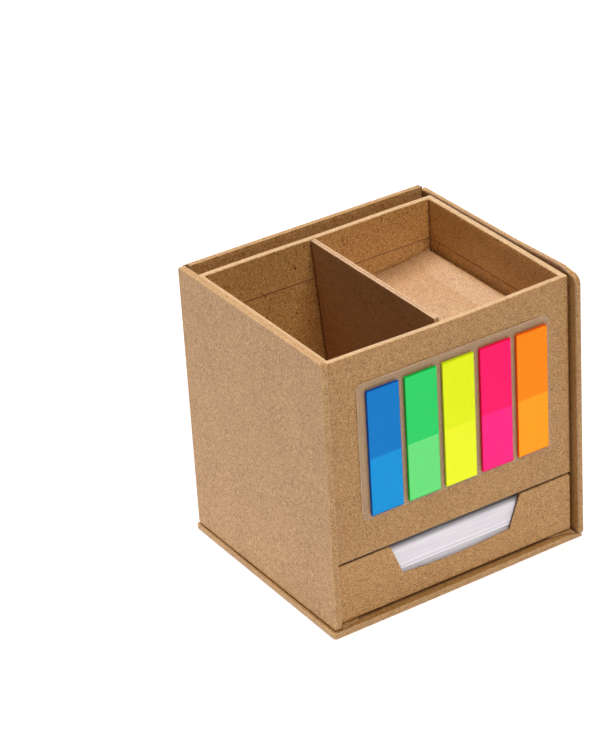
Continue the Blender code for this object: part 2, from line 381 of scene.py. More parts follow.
def make_kraft(name, base, pale, dark, wear_and_highlight=0.4, gloss=0.5, grain_depth=0.00002):
    """Paper of a base colour: uneven pulp, hairs, specks, rims paled by wear and painted
    highlight, painted shade and painted light.
    """
    paint = Paint(name, Specular_IOR_Level=gloss)
    noises = {part: paint.noise(scale, detail)
              for part, (scale, detail, _) in PULP_NOISES.items()}
    pulp = 0.5
    for part, (_, _, share) in PULP_NOISES.items():
        pulp = pulp + share * (noises[part] - 0.5)
    dark_pulp = tuple(np.maximum(np.array(base) - PULP_SPREAD, DARKEST_PULP))
    pale_pulp = tuple(np.array(base) + PULP_SPREAD)

    flock, blotch, grain = (noises[part] for part in ("flock", "blotch", "grain"))
    shifted = paint.node("ShaderNodeVectorMath", {"operation": "ADD"},
                         {0: paint.place, 1: OTHER_PART})
    crossing = abs(paint.noise(scale=700.0, detail=1.0, where=shifted) - 0.5)
    hair = 1 - paint.ramp(crossing, low=0.004, high=0.030)
    dark_hair = hair * paint.ramp(flock, low=0.56, high=0.66)
    peaks = paint.noise(scale=1000.0, detail=0.0, where=shifted)
    speck = paint.ramp(peaks, low=0.76, high=0.82)
    # The rims are paled partly by wear and partly as a painted highlight.
    rub_and_highlight = paint.mark("rim") * (wear_and_highlight + RUB_AND_HIGHLIGHT_MOTTLE * (flock - 0.5))

    tone = paint.mix(pulp, dark_pulp, pale_pulp)
    # Painted light: faces that the lamps leave too dark are made lighter.
    tone = paint.shade(tone, 1 + PAINTED_LIGHT_GAIN * paint.mark("painted_light"))
    tone = paint.mix(HAIR_DARK * dark_hair, tone, dark)
    tone = paint.mix(SPECK_DARK * speck, tone, dark)
    tone = paint.mix(rub_and_highlight, tone, pale)
    # Painted shade: corners, slits and gaps that little light reaches are darkened.
    tone = paint.mix(PAINTED_SHADE_DEPTH * paint.mark("painted_shade"), tone, dark)
    paint.feed("Base Color", tone)
    paint.feed("Roughness", PAPER_ROUGHNESS + FLOCK_ROUGHNESS * flock)
    paint.relief(grain + BLOTCH_RELIEF * blotch + FLOCK_RELIEF * flock, grain_depth)
    return paint.material


# %% The three papers
kraft_wrap = make_kraft("kraft_wrap", colour(174, 128, 72), colour(224, 192, 150),
                        colour(96, 58, 28))
kraft_lining = make_kraft("kraft_lining", colour(170, 124, 74), colour(206, 166, 120),
                          colour(98, 60, 32), wear_and_highlight=0.0)
chipboard = make_kraft("chipboard", colour(182, 139, 96), colour(226, 186, 150),
                       colour(112, 72, 46), gloss=0.8, grain_depth=0.00004)
print("papers:", kraft_wrap.name, kraft_lining.name, chipboard.name)

# %% [markdown]
# ## From a grid of points to a piece
#
# Every shape below ends as an array of points in rows and columns, closed round its
# columns. This step makes it a mesh of quads. Points that coincide, at seams and poles,
# are merged, and the faces are turned outwards by the sign of the volume inside them.
# The piece is then given its paper, the body that it rides on, and the frame's solids
# that it stands for.

# %% Mesh from a grid
MERGE_DISTANCE = 0.0000002


def grid_mesh(name, points, marks, along=False):
    """A closed mesh from points[row, column].

    Neighbours in rows and columns make the quads, and so do the last column and the
    first one. along joins the last row to the first one as well.
    """
    rows, columns = points.shape[:2]
    index = np.arange(rows * columns).reshape(rows, columns)
    index = np.pad(index, ((0, int(along)), (0, 1)), mode="wrap")
    quads = np.stack([index[:-1, :-1], index[:-1, 1:], index[1:, 1:], index[1:, :-1]], axis=-1)
    mesh = bpy.data.meshes.new(name)
    mesh.from_pydata(points.reshape(-1, 3).tolist(), [], quads.reshape(-1, 4).tolist())
    for mark, values in marks.items():
        layer = mesh.attributes.new(mark, "FLOAT", "POINT")
        spread = np.broadcast_to(values, points.shape[:2]).astype(np.float32)
        layer.data.foreach_set("value", spread.ravel())
    shape = bmesh.new()
    shape.from_mesh(mesh)
    bmesh.ops.remove_doubles(shape, verts=shape.verts, dist=MERGE_DISTANCE)
    if shape.calc_volume(signed=True) < 0:
        bmesh.ops.reverse_faces(shape, faces=shape.faces)
    shape.to_mesh(mesh)
    open_edges = sum(not line.is_manifold for line in shape.edges)
    shape.free()
    mesh.shade_smooth()
    print(f"{name}: {len(mesh.polygons)} faces, {open_edges} open edges")
    return mesh


# %% A piece in place of its nodes
bodies = frame["record"]["behaviour"]["bodies"]


def add_piece(name, mesh, material, node, *more):
    """Put a mesh in the scene in place of one or more nodes of the frame."""
    piece = bpy.data.objects.new(name, mesh)
    mesh.materials.append(material)
    bpy.context.scene.collection.objects.link(piece)
    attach(piece, next(body for body, members in bodies.items() if node in members))
    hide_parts(node, *more)


print("bodies:", {body: len(members) for body, members in bodies.items()})

# %% [markdown]
# ## Wrapped boards
#
# A wrapped board has no sharp edge: the paper takes it round in a small radius, and its
# corners are rounded a little more. A cube with a bevel would do for one board, but the
# drawer's front has a notch, and boards are never quite flat. So one function carries a
# section along the board. The section's core is a line as high as the board is there, and
# the skin lies one edge radius off it, turned through the angle of the edge. At both ends
# that angle grows to a right angle, which closes the board.

# %% A run with rounded corners
ARC_STEPS = 6
ROW_SPACING = 0.005
HOLDING_ROW = 0.0005


def rows_between(start, stop, spacing):
    """Places from start to stop, with one row close to each end to keep faces flat."""
    hold = min(HOLDING_ROW, (stop - start) / 5)
    count = max(2, round((stop - start) / spacing) + 1)
    inner = np.linspace(start + hold, stop - hold, count)
    return np.concatenate([[start], inner, [stop]])


def rounded_run(corners, edge, spacing):
    """Core points and outward normals of a run of straight lines with rounded corners.

    The run climbs a board's left side, crosses its top and goes down its right side. A
    corner of radius r between the normals a and b turns round the point that lies
    r (a + b) / (1 + a.b) inside it, or outside it where the outline is hollow. The core
    lies one edge radius inside the outline.
    """
    places = np.array([corner[:2] for corner in corners])
    headings = np.diff(places, axis=0)
    headings /= np.linalg.norm(headings, axis=1)[:, None]
    headings = np.vstack([[0.0, 1.0], headings, [0.0, -1.0]])
    outward = np.stack([-headings[:, 1], headings[:, 0]], axis=1)
    core, normal = [], []
    for (x, z, radius), first, last in zip(corners, outward, outward[1:]):
        hollow = first[0] * last[1] - first[1] * last[0] > 0
        reach = -radius if hollow else radius
        centre = np.array([x, z]) - reach * (first + last) / (1 + first @ last)
        turn = math.acos(first @ last)
        share = np.linspace(0, 1, ARC_STEPS + 1)[:, None]
        arc = np.sin((1 - share) * turn) * first + np.sin(share * turn) * last
        arc /= math.sin(turn)
        turned = centre + (reach - edge) * arc
        if core:
            gap = turned[0] - core[-1][-1]
            length = np.linalg.norm(gap)
            steps = rows_between(0.0, length, spacing)[1:-1, None] / length
            core.append(core[-1][-1] + steps * gap)
            normal.append(np.repeat(first[None], len(steps), axis=0))
        core.append(turned)
        normal.append(arc)
    return np.concatenate(core), np.concatenate(normal)


print("rows on a board of 80 mm:", len(rows_between(0.0, 0.080, ROW_SPACING)))

# %% Board surface
def board_grid(low, high, edge, corner, notch=(), bow=0.0, spacing=ROW_SPACING, worn_and_highlight=0.0):
    """Points of a wrapped board and its rim mark, 1 halfway round an edge, for wear and painted
    highlight.

    The board stands in a plane of its own: across, through and up. With n the normal of
    the outline and a the angle round the edge, a point is core + edge sin(a) n in the
    plane, and thickness / 2 - edge + edge cos(a) off the board's middle.
    """
    (left, near, foot), (right, far, top) = low, high
    first_corner, last_corner = np.broadcast_to(corner, 2)
    corners = [(left, top, first_corner), *notch, (right, top, last_corner)]
    core, normal = rounded_run(corners, edge, spacing)
    count = len(core)
    ends = np.r_[0:ARC_STEPS + 1, count - ARC_STEPS - 1:count]
    under = np.stack([core[:, 0], np.full(count, foot + edge)], axis=1)
    under[ends, 1] = foot + top - core[ends, 1]
    under_normal = np.tile([0.0, -1.0], (count, 1))
    under_normal[ends] = normal[ends] * [1.0, -1.0]

    quarter = np.linspace(0, math.pi / 2, ARC_STEPS + 1)
    face = rows_between(0.0, top - foot, ROW_SPACING) / (top - foot)
    rise, fall, flat = quarter[1:], quarter[:0:-1], np.zeros(len(face))
    edges = 2 * ARC_STEPS
    share = np.concatenate([face, np.ones(edges), face[::-1], np.zeros(edges)])
    angle = np.concatenate([flat, rise, fall, flat, rise, fall])
    side = np.repeat([-1, 1, -1], [len(face) + ARC_STEPS, len(face) + edges, ARC_STEPS])

    station = np.pad(np.arange(count), ARC_STEPS + 1, mode="edge")
    closing = np.concatenate([[quarter[-1]], fall, np.zeros(count), rise, [quarter[-1]]])
    open_share = np.pad(np.ones(len(station) - 2), 1)

    turn = np.maximum(angle[None], closing[:, None])
    upper = (share > 0.5)[None, :, None]
    lean = np.where(upper, normal[station][:, None], under_normal[station][:, None])
    lowest, highest = under[station][:, None], core[station][:, None]
    plane = lowest + share[None, :, None] * (highest - lowest)
    plane = plane + edge * np.sin(turn)[..., None] * lean
    half = (far - near) / 2
    off = open_share[:, None] * side * (half - edge + edge * np.cos(turn))
    x = (plane[..., 0] * 2 - left - right) / (right - left)
    z = (plane[..., 1] * 2 - foot - top) / (top - foot)
    through = (near + far) / 2 + off + bow * (1 - x * x) * (1 - z * z)
    rim = np.sin(2 * turn) + worn_and_highlight * np.sin(turn) ** 2
    return np.stack([plane[..., 0], through, plane[..., 1]], axis=-1), rim


# %% A board in place of a node
def board(name, material, node, *more, edge, corner=None, notch=(), bow=0.0, worn_and_highlight=0.0, rubbed_and_highlight=1.0,
          grow=(0.0, 0.0), ease=None, dark=None, painted_light=0.0):
    """A wrapped board in place of a node, with its thinnest side as the thickness.

    grow is what its two opposite corners are shifted by, low and high. Without a corner,
    its corners are as round as its edge. rubbed says how pale its edges are, from wear and
    a painted highlight, and worn adds its thin sides to them. lighter is how much painted
    light its paper gets. ease is a function that shifts its points, and dark one that says
    how much painted shade each of them gets.
    """
    low, high = (np.array(point) + shift for point, shift in zip(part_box(node), grow))
    through = int(np.argmin(high - low))
    across, upward = [axis for axis in range(3) if axis != through]
    order = [across, through, upward]
    local, rim = board_grid(low[order], high[order], edge, corner or edge, notch, bow,
                            worn_and_highlight=worn_and_highlight)
    points = np.empty_like(local)
    points[..., order] = local
    # Marks: rims paled by wear and painted highlight, painted light, and painted shade.
    marks = {"rim": rubbed_and_highlight * rim, "painted_light": painted_light}
    if dark:
        marks["painted_shade"] = dark(points) * 1.0
    if ease:
        points = ease(points, low, high)
    add_piece(name, grid_mesh(name, points, marks), material, node, *more)


# %% [markdown]
# ## Casing
#
# The base board and the three panels. Their edges are only 0.4 to 0.6 mm round, because
# the paper is drawn tight round boards of 1.8 to 2.4 mm, and each panel is bowed a little,
# as glued board dries. The base board is narrower at the back and on the right. The right
# panel leans out at its front end, and its top falls towards the back, rises in front and
# is well rounded off there. Where the two meet in front they are pressed down together.
# Such an uneven board is easiest to get from an even one, by a function that shifts its
# points. Little light gets into the slit beside the pencil box, so painted shade darkens
# the panel's inner face there; the rest of that face gets a little painted shade too.

# %% Base board
BASE_EDGE = 0.0006
BASE_CORNER = 0.0011
FRONT_TAPER = 0.0006
SIDE_TAPER = 0.0005
CORNER_FALL = 0.0014
CORNER_ACROSS = (0.0447, 0.0487)
CORNER_AHEAD = (-0.0370, -0.0410)


def climb(place, run):
    """How far a place is along a run from start to stop, as a share from 0 to 1."""
    start, stop = run
    return np.clip((place - start) / (stop - start), 0, 1)


def corner_fall(x, y):
    """How far the front right corner is pressed down: in full only at its very tip."""
    return CORNER_FALL * climb(x, CORNER_ACROSS) * climb(y, CORNER_AHEAD)


def taper(points, low, high):
    """Bring the front edge in towards the right, and the left edge in towards the back."""
    x, y, z = np.moveaxis(points, -1, 0)
    beside, behind, tall = (np.moveaxis(points - low, -1, 0)
                            / (high - low)[:, None, None])
    fall = corner_fall(x, y) * tall
    return np.stack([x + SIDE_TAPER * behind * (1 - beside),
                     y + FRONT_TAPER * beside ** 2 * (1 - behind), z - fall], axis=-1)


board("base", kraft_wrap, "base_board", edge=BASE_EDGE, corner=BASE_CORNER, worn_and_highlight=0.4,
      rubbed_and_highlight=0.5, ease=taper)

# %% Panels
CASE_EDGE = 0.0004
PANEL_CORNER = 0.0012
RIGHT_EDGE = 0.0006
RIGHT_CORNERS = (0.0012, 0.0006)
PANEL_FLARE = 0.0008
FLARE_RUN = (0.0080, 0.0)
FRONT_RISE = -0.0001
TIP_RISE = 0.0006
TIP_RUN = (0.030, 0.010)
TIP_FALL = 0.0036
TIP_FALL_RUN = (0.0060, 0.0)
BACK_FALL = 0.0006
BACK_REACH = 0.0001
# Painted shade on the inner face outside the slit.
INNER_DARK = 0.25


def lean_out(points, low, high):
    """Shift the front end outwards, tilt the top down to the back, and press the foot down.

    The shift in X is flare times the square of the share of the last 8 mm that a point
    is in. The top rises evenly from 30 to 10 mm behind the front end, falls by the cube
    of the share of the last 6 mm, and falls evenly over the whole depth to the back.
    Lower points move by their share of the height.
    """
    x, y, z = np.moveaxis(points, -1, 0)
    behind = y - low[1]
    up = (FRONT_RISE + TIP_RISE * climb(behind, TIP_RUN)
          - TIP_FALL * climb(behind, TIP_FALL_RUN) ** 3
          - BACK_FALL * behind / (high[1] - low[1]))
    tall = (z - low[2]) / (high[2] - low[2])
    x = x + PANEL_FLARE * climb(behind, FLARE_RUN) ** 2
    return np.stack([x, y, z + up * tall - corner_fall(x, y) * (1 - tall) ** 8], axis=-1)


def slit_dark(points):
    """How much painted shade the right panel's inner face gets: most in the narrow slit beside
    the pencil box.
    """
    inner = points[..., 0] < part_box("right_panel")[0].x + RIGHT_EDGE
    beside = ((points[..., 1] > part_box("box_front_wall")[0].y)
              & (points[..., 1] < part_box("box_back_wall")[1].y))
    return inner * np.where(beside, 1.0, INNER_DARK)


board("panel_left", kraft_wrap, "left_panel", edge=CASE_EDGE, corner=PANEL_CORNER,
      bow=-0.00015, worn_and_highlight=0.3, rubbed_and_highlight=0.6)
board("panel_right", kraft_wrap, "right_panel", edge=RIGHT_EDGE, corner=RIGHT_CORNERS,
      bow=0.00012, rubbed_and_highlight=0.4, ease=lean_out, dark=slit_dark)
board("panel_back", kraft_wrap, "back_panel", edge=CASE_EDGE, bow=0.00010, rubbed_and_highlight=0.6,
      grow=(0.0, (BACK_REACH, 0.0, 0.0)))

# %% [markdown]
# ## Linings and tabs of paper
#
# Lining papers cover the turned-in wrap on the base board and on the back panel. They are
# thin boards of their own, and the glue gaps that the frame leaves behind them are closed
# here. Two corners of the base board's wrap came loose and show as tabs under the drawer:
# flat outlines with a thickness, closed by rings that shrink to their middle.

# %% Linings and tabs
PAPER_EDGE = 0.00009
PAPER_CORNER = 0.0004
PAPER_STEP = 0.00005
LINING_INSET = 0.0002
# Painted shade along the lining's front edge, under the drawer, where little light reaches.
CONTACT_DARK = 0.0007
TAB_LIFT = 0.00032
TAB_PAPER = 0.00020
TAB_RINGS = np.array([0.0, 0.9, 1.0, 1.0, 0.9, 0.0])
# The tabs' edges are paler from wear and a painted highlight.
TAB_RUB_AND_HIGHLIGHT = 2.0
TABS = {
    "left": [(-0.0382, -0.0395), (-0.0380, -0.0380), (-0.0437, -0.0380), (-0.0452, -0.0407)],
    "right": [(0.0358, -0.0380), (0.0455, -0.0378), (0.0457, -0.0400), (0.0455, -0.0404)],
}


def paper_tab(name, outline, foot):
    """A loose corner of the base board's wrap: its outline, drawn in towards its middle."""
    outline = np.array(outline)
    share = np.linspace(0, 1, num=6, endpoint=False)[:, None, None]
    ring = outline[None] + share * (np.roll(outline, -1, axis=0) - outline)[None]
    ring = ring.swapaxes(0, 1).reshape(-1, 2)
    size = TAB_RINGS[:, None, None]
    plane = ring.mean(axis=0) + size * (ring - ring.mean(axis=0))
    level = foot + TAB_PAPER * np.array([[0.0]] * 3 + [[1.0]] * 3)
    level = level - corner_fall(plane[..., 0], plane[..., 1])
    points = np.concatenate([plane, level[..., None]], axis=-1)
    mesh = grid_mesh(name, points, {"rim": (size[..., 0] == 1.0) * TAB_RUB_AND_HIGHLIGHT})
    add_piece(name, mesh, kraft_wrap, "base_board")


lining_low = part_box("base_lining")[0]
base_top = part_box("base_board")[1].z
# The lining gets painted shade from its front edge up to here.
dark_until = lining_low.y + LINING_INSET + CONTACT_DARK
glue = base_top - lining_low.z
board("lining_base", kraft_lining, "base_lining", edge=PAPER_EDGE, corner=PAPER_CORNER,
      grow=((0.0, LINING_INSET, glue), (0.0, 0.0, glue)),
      dark=lambda points: points[..., 1] < dark_until)
for tab_side, tab_outline in TABS.items():
    paper_tab("wrap_tab_" + tab_side, tab_outline, base_top + TAB_LIFT)
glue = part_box("back_panel")[0].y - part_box("back_lining")[0].y
board("lining_back", kraft_lining, "back_lining", edge=PAPER_EDGE, corner=PAPER_CORNER,
      grow=((0.0, glue - PAPER_STEP, 0.0), (0.0, glue, 0.0)))

# %% [markdown]
# ## Hinge strips
#
# The wrap runs on from the back panel to both side panels and closes the slits between
# them on the outside. A thin board with a slight hollow along the slit gives that. It
# lies flush with the boards' backs and ends below the back panel's top. Its inner side
# gets painted shade, because it only shows at the bottom of the slit.

# %% Hinge strips
STRIP_LAP = 0.0009
STRIP_PAPER = 0.0002
STRIP_RISE = {"left": 0.0008, "right": 0.0010}

strip_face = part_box("back_panel")[1].y
for strip_side, rise in STRIP_RISE.items():
    strip_low, strip_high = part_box(strip_side + "_hinge_paper")
    board("hinge_strip_" + strip_side, kraft_wrap, strip_side + "_hinge_paper",
          edge=PAPER_EDGE, corner=PAPER_CORNER, bow=-0.0001,
          grow=((-STRIP_LAP, strip_face - STRIP_PAPER - strip_low.y, 0.0),
                (STRIP_LAP, strip_face - strip_high.y, rise)),
          dark=lambda points: points[..., 1] < strip_face - STRIP_PAPER / 2)

# %% [markdown]
# ## Pencil box
#
# The box is one wrapped shell: the paper goes up the outside, over the rim and 14 mm down
# the inside, where its cut edge shows as a fine line: a small step, with a painted
# highlight above it and painted shade below it. Four separate boards would leave slits at
# the corners that the real one doesn't have. So the wall's profile is carried round a
# rounded rectangle. A point of the profile that lies o outside the inner face goes to
# core (half size + o - r) along the sides, and r round the corners. The rim waves a
# little, and in front it lies lower and sags in its middle. Its top is paled by wear and a
# painted highlight. Hardly any light gets into the corners' folds, into the slit and under
# the foot, so painted shade darkens them, and the inner faces get painted light.

# %% Path and profile of the wall
BOX_EDGE = 0.00045
BOX_FOOT_EDGE = 0.00020
# Painted shade round the foot's rounded edge, in the gap over the drawer.
FOOT_DARK = 1.3
TURN_IN = 0.0141
TURN_IN_PAPER = 0.00012
TURN_IN_LINE = 0.00050
CUT_ROWS = np.array([-0.5, 0.0, 0.2, 0.6, 1.0])
# At the cut edge: a painted highlight above it and painted shade below it.
CUT_HIGHLIGHT = [0.0, 0.0, 0.5, 0.5, 0.0]
CUT_DARK = [0.8, 0.8, 0.0, 0.0, 0.0]
# The rim's top is paled by wear and a painted highlight.
TOP_RUB_AND_HIGHLIGHT = 1.1


def ring_path(corner_steps, width_steps, depth_steps, hold=0.0):
    """A unit rounded rectangle: for each point its core and its outward normal.

    With a hold, each side has one more point that close to each of its corners.
    """
    arc = np.linspace(0, math.pi / 2, corner_steps + 1)
    core, normal = [], []
    for quarter, steps in enumerate((depth_steps, width_steps) * 2):
        turned = arc + quarter * math.pi / 2
        ahead = np.array([math.cos(quarter * math.pi / 2), math.sin(quarter * math.pi / 2)])
        sideways = np.array([-ahead[1], ahead[0]])
        share = np.linspace(-1, 1, steps + 1)[1:-1, None]
        if hold:
            share = np.vstack([[[hold - 1]], share, [[1 - hold]]])
        core.append(ahead + share * sideways)
        normal.append(np.repeat(ahead[None], len(share), axis=0))
        core.append(np.repeat((ahead + sideways)[None], len(arc), axis=0))
        normal.append(np.stack([np.cos(turned), np.sin(turned)], axis=1))
    return np.concatenate(core), np.concatenate(normal)


def wall_profile(foot, top, wall):
    """Offsets from the inner face, heights, and the marks for a pale rim and painted shade, round
    the wall's section.

    It goes up the inside, over the rim by two quarter turns, down the outside and round
    the foot by two more. Above its cut edge the turned-in paper adds its thickness.
    """
    quarter = np.linspace(0, math.pi / 2, ARC_STEPS + 1)
    near, far = 1 - np.cos(quarter), 1 - np.sin(quarter)
    cut = top - TURN_IN
    below = rows_between(foot + BOX_FOOT_EDGE, cut - TURN_IN_LINE, ROW_SPACING)
    above = rows_between(cut + 2 * TURN_IN_LINE, top - BOX_EDGE, ROW_SPACING)
    rise = np.concatenate([below, cut + TURN_IN_LINE * CUT_ROWS, above])
    fall = rows_between(foot + BOX_FOOT_EDGE, top - BOX_EDGE, ROW_SPACING)[::-1]
    offset = np.concatenate([-TURN_IN_PAPER * (rise > cut),
                             BOX_EDGE * near - TURN_IN_PAPER * np.cos(quarter),
                             wall - BOX_EDGE * far, np.full(len(fall), wall),
                             wall - BOX_FOOT_EDGE * near, BOX_FOOT_EDGE * far])
    height = np.concatenate([rise, top - BOX_EDGE * far, top - BOX_EDGE * near, fall,
                             foot + BOX_FOOT_EDGE * far, foot + BOX_FOOT_EDGE * near])
    top_rim = TOP_RUB_AND_HIGHLIGHT * np.sin(quarter) ** 3
    plain = np.zeros(len(fall) + 2 * len(quarter))
    rim = np.concatenate([below * 0, CUT_HIGHLIGHT, above * 0, top_rim, top_rim[::-1], plain])
    painted_shade = np.concatenate([below * 0, CUT_DARK, above * 0, plain,
                             FOOT_DARK * np.sin(quarter), FOOT_DARK * np.cos(quarter)])
    return offset, height, rim, painted_shade


# %% Pencil box
BOX_CORNER = 0.0003
BOX_FOOT_REACH = 0.00010
BOX_SWELL = 0.0004
CORNER_HOLD = 0.010
ON_A_SIDE = 0.99
RIM_WAVE = 0.00007
WAVE_ACROSS = (5.1, 1.3)
WAVE_DEEP = (4.3, 0.4)
RIM_SAG = 0.00070
SAG_MIDDLE = 0.002
SAG_REACH = 0.026
RIM_FALL = 0.00030

box_low, box_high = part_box("box_left_wall")[0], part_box("box_right_wall")[1]
box_near, box_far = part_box("box_front_wall")[0].y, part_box("box_back_wall")[1].y
box_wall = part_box("box_left_wall")[1].x - box_low.x
box_high.x += BOX_SWELL
offset, height, rim, painted_shade = wall_profile(box_low.z - BOX_FOOT_REACH, box_high.z, box_wall)
path_core, path_normal = ring_path(ARC_STEPS, width_steps=22, depth_steps=18,
                                   hold=CORNER_HOLD)
across, deep = path_core.T
box_middle = np.array([box_low.x + box_high.x, box_near + box_far]) / 2
box_inner = np.array([box_high.x - box_low.x, box_far - box_near]) / 2 - box_wall
ring = (path_core[None] * (box_inner + (offset - BOX_CORNER)[:, None])[:, None]
        + path_normal[None] * BOX_CORNER + box_middle)

wave = (np.sin(across * WAVE_ACROSS[0] + WAVE_ACROSS[1])
        * np.sin(deep * WAVE_DEEP[0] + WAVE_DEEP[1]))
sag = np.exp(-(((ring[..., 0] - SAG_MIDDLE) / SAG_REACH) ** 2)) * (deep < -ON_A_SIDE)
fall = RIM_FALL * np.clip(-deep, 0, 1) ** 2
lift = RIM_WAVE * (wave - 1) - RIM_SAG * sag - fall
lift = lift * ((height - box_low.z) / (box_high.z - box_low.z))[:, None]
shell_points = np.concatenate([ring, (height[:, None] + lift)[..., None]], axis=-1)

# Painted shade in the inner corners' folds, in the slit and round the foot; painted light on the
# inner faces.
in_corner = np.abs(path_core).min(axis=1) > 1 - CORNER_HOLD / 2
inside = (offset < box_wall / 4) & (height < box_high.z - BOX_EDGE)
in_slit = (offset > box_wall - BOX_EDGE / 4)[:, None] & (across > ON_A_SIDE)
hidden = (inside[:, None] & in_corner) | in_slit
shell_marks = {"rim": rim[:, None], "painted_shade": np.maximum(painted_shade[:, None], hidden),
               "painted_light": inside[:, None]}
add_piece("pencil_box", grid_mesh("pencil_box", shell_points, shell_marks, along=True),
          kraft_wrap, "box_front_wall", "box_back_wall", "box_left_wall", "box_right_wall")
board("pencil_box_floor", kraft_lining, "box_bottom", edge=BOX_EDGE)

# %% [markdown]
# ## Divider and tray
#
# Both are loose strips of chipboard, folded and pushed in, and they stand a hair higher
# and further right than their solids. A folded strip is a flat one that was bent: this
# makes the flat strip as a board, and then lays its length along a path with rounded
# folds, so that the thickness stays the same all the way.

# %% Folded strips
INSERT_BOARD = 0.0009
INSERT_EDGE = 0.0002
INSERT_CORNER = 0.0003
# The strips' edges are paled by wear and a painted highlight; the divider's far end gets painted
# shade over this reach.
INSERT_RUB_AND_HIGHLIGHT = 0.25
END_DARK = 0.0006
FOLD_RADIUS = 0.0010
STRIP_SPACING = 0.0004


def folded_path(corners):
    """Points along straight lines with a round fold at each inner corner.

    A fold starts radius tan(turn / 2) before its corner, and follows the circle that
    touches both lines.
    """
    corners = np.array(corners)
    points = [corners[0]]
    for before, here, after in zip(corners, corners[1:], corners[2:]):
        first = (here - before) / np.linalg.norm(here - before)
        last = (after - here) / np.linalg.norm(after - here)
        turn = math.acos(first @ last)
        start = here - first * FOLD_RADIUS * math.tan(turn / 2)
        inward = (last - first * (first @ last)) / math.sin(turn)
        angle = np.linspace(0, 1, 2 * ARC_STEPS + 1)[:, None] * turn
        points.extend(start + FOLD_RADIUS * (np.sin(angle) * first
                                             + (1 - np.cos(angle)) * inward))
    points.append(corners[-1])
    return np.array(points)


def bent_strip(name, node, corners, end_dark=0.0):
    """A strip of chipboard, as deep as its node, bent along a path of X and Z points.

    A flat point at s along, t off the middle and y deep goes to path(s) + t n(s), where n
    is the path's normal there. end_dark is how much painted shade its far end gets, in the
    box's corner.
    """
    near, far = (point.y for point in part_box(node))
    path = folded_path(corners)
    run = np.concatenate([[0.0], np.cumsum(np.linalg.norm(np.diff(path, axis=0), axis=1))])
    flat, rim = board_grid((0.0, -INSERT_BOARD / 2, near), (run[-1], INSERT_BOARD / 2, far),
                           INSERT_EDGE, INSERT_CORNER, spacing=STRIP_SPACING, worn_and_highlight=0.8)
    heading = np.gradient(path, run, axis=0)
    along, off, deep = np.moveaxis(flat, -1, 0)
    x, z = (np.interp(along, run, path[:, axis]) for axis in (0, 1))
    ahead_x, ahead_z = (np.interp(along, run, heading[:, axis]) for axis in (0, 1))
    size = np.hypot(ahead_x, ahead_z)
    points = np.stack([x - off * ahead_z / size, deep, z + off * ahead_x / size], axis=-1)
    marks = {"rim": INSERT_RUB_AND_HIGHLIGHT * rim, "painted_shade": end_dark * (deep > far - END_DARK)}
    add_piece(name, grid_mesh(name, points, marks), chipboard, node)


# %% Divider and tray
INSERT_LEAN = math.radians(4.5)
INSERT_LIFT = (0.00015, 0.00020)
TRAY_DEPTH = 0.0222
TRAY_CURL = 0.0012
CURL_RUN = 0.0090
LAYER_GAP = 0.00003

divider_low, divider_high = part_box("divider")
tray_low, tray_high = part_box("shallow_tray")
lean_across = np.array([math.cos(INSERT_LEAN), math.sin(INSERT_LEAN)])
lean_down = np.array([math.sin(INSERT_LEAN), -math.cos(INSERT_LEAN)])
half_board = INSERT_BOARD / 2
divider_top = np.array([divider_low.x, divider_high.z - INSERT_BOARD * lean_across[1]])
divider_top += INSERT_LIFT + half_board * lean_across
divider_run = (divider_top[1] - divider_low.z) / math.cos(INSERT_LEAN)
bent_strip("divider_board", "divider", [divider_top, divider_top + divider_run * lean_down],
           end_dark=1.3)

flange_top = divider_top + (INSERT_BOARD + LAYER_GAP) * lean_across
tray_fold = flange_top + (TRAY_DEPTH + half_board) * lean_down
leg_x = tray_high.x - half_board
leg_fold = tray_fold + (leg_x - tray_fold[0]) / lean_across[0] * lean_across
curl_start = leg_fold - CURL_RUN * lean_across
leg_fold[1] += TRAY_CURL
bent_strip("tray_board", "shallow_tray",
           [flange_top, tray_fold, curl_start, leg_fold, (leg_x, tray_low.z)])

# %% [markdown]
# ## Drawer
#
# The front is a wrapped board too, with a finger notch in its top edge. Its outline gets
# five more corners for that. The middle one has a very wide radius, because the notch's
# floor sags a little. The other walls and the bottom only show when the drawer is open.
# Their solids leave a glue gap at the corners, which the wrap covers.

# %% Drawer
DRAWER_EDGE = 0.0004
FRONT_EDGE = 0.0002
DRAWER_CORNER = 0.0010
NOTCH_TOP_WIDTH = 0.0500
NOTCH_BOTTOM_WIDTH = 0.0412
NOTCH_DEPTH = 0.0115
NOTCH_ROUND_TOP = 0.0010
NOTCH_ROUND_BOTTOM = 0.0004
GLUE_GAP = 0.0003
FACE_CLEARANCE = 0.0003
FACE_FALL = 0.0004
NOTCH_FALL = 0.0004
NOTCH_SAG = 0.0015
NOTCH_SAG_ROUND = 0.17
SIDE_DARK = 1.3

front_low, front_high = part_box("drawer_front")
face_top = front_high.z - FACE_FALL
notch_middle = (front_low.x + front_high.x) / 2
notch_floor = front_high.z - NOTCH_DEPTH - NOTCH_FALL
notch = [(notch_middle - NOTCH_TOP_WIDTH / 2, face_top, NOTCH_ROUND_TOP),
         (notch_middle - NOTCH_BOTTOM_WIDTH / 2, notch_floor, NOTCH_ROUND_BOTTOM),
         (notch_middle, notch_floor - NOTCH_SAG, NOTCH_SAG_ROUND),
         (notch_middle + NOTCH_BOTTOM_WIDTH / 2, notch_floor, NOTCH_ROUND_BOTTOM),
         (notch_middle + NOTCH_TOP_WIDTH / 2, face_top, NOTCH_ROUND_TOP)]


def notch_sides(points):
    """How much painted shade a point gets: the notch's thin sides lie in the shade, the rest
    doesn't.
    """
    x, y, z = np.moveaxis(points, -1, 0)
    within = (np.abs(x - notch_middle) < NOTCH_TOP_WIDTH / 2) & (z > notch_floor)
    return SIDE_DARK * (within & (y > front_low.y + FRONT_EDGE / 2))


